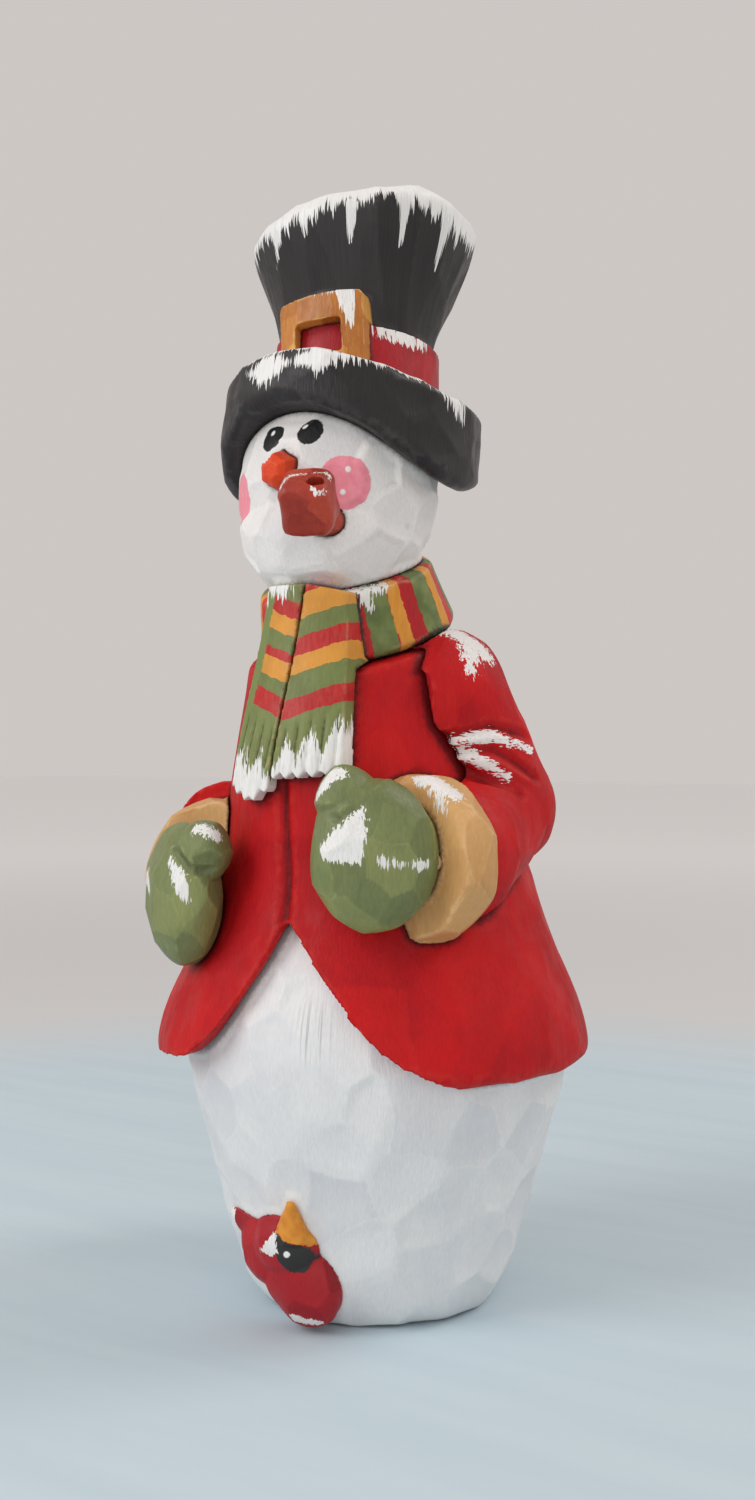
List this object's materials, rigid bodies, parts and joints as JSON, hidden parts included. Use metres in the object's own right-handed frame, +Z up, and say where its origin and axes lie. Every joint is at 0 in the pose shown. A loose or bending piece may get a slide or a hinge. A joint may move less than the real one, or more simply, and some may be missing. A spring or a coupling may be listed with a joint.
{
  "type": "wooden snowman figure",
  "caption": "Carved wooden snowman standing figure in a top hat, striped scarf and red tailcoat, with a pipe and a small red bird at its foot.",
  "frame": {"origin": "centre of the flat foot that the figure stands on", "axes": "+Z up through the figure; it faces -Y; its own left hand is at +X"},
  "size_m": [0.0761, 0.0776, 0.1905],
  "materials": {
    "snow_paint": "hand-brushed matt white paint on knife-cut wood",
    "face_paint": "hand-brushed matt white paint, painted eyes and cheeks",
    "coat_paint": "hand-brushed satin red paint with dry-brushed white",
    "scarf_paint": "green paint with red and gold stripes, antiqued edges",
    "carrot_paint": "satin orange paint on knife-cut wood",
    "pipe_paint": "satin red-brown paint",
    "hat_paint": "matt black paint with dry-brushed white",
    "band_paint": "satin red paint",
    "buckle_paint": "satin gold-ochre paint with dry-brushed white",
    "cardinal_paint": "satin red paint, black mask, orange beak",
    "cuff_paint": "satin tan paint, antiqued edges",
    "mitten_paint": "satin olive green paint, dry-brushed white",
    "birch_dowel": "bare turned birch"
  },
  "bodies": {
    "root": {"body": "snow_paint", "coat": "coat_paint", "scarf_wrap": "scarf_paint", "scarf_tail_left": "scarf_paint", "scarf_tail_right": "scarf_paint", "head": "face_paint", "nose": "carrot_paint", "pipe_bowl": "pipe_paint", "pipe_stem": "pipe_paint", "hat_brim": "hat_paint", "hat_crown": "hat_paint", "hat_band": "band_paint", "hat_buckle": "buckle_paint", "cardinal": "cardinal_paint", "left_sleeve": "coat_paint", "right_sleeve": "coat_paint", "left_cuff": "cuff_paint", "right_cuff": "cuff_paint", "left_mitten": "mitten_paint", "right_mitten": "mitten_paint", "waist_dowel": "birch_dowel", "neck_dowel": "birch_dowel", "hat_dowel": "birch_dowel", "left_shoulder_dowel": "birch_dowel", "right_shoulder_dowel": "birch_dowel", "left_wrist_dowel": "birch_dowel", "right_wrist_dowel": "birch_dowel"}
  },
  "joints": []
}
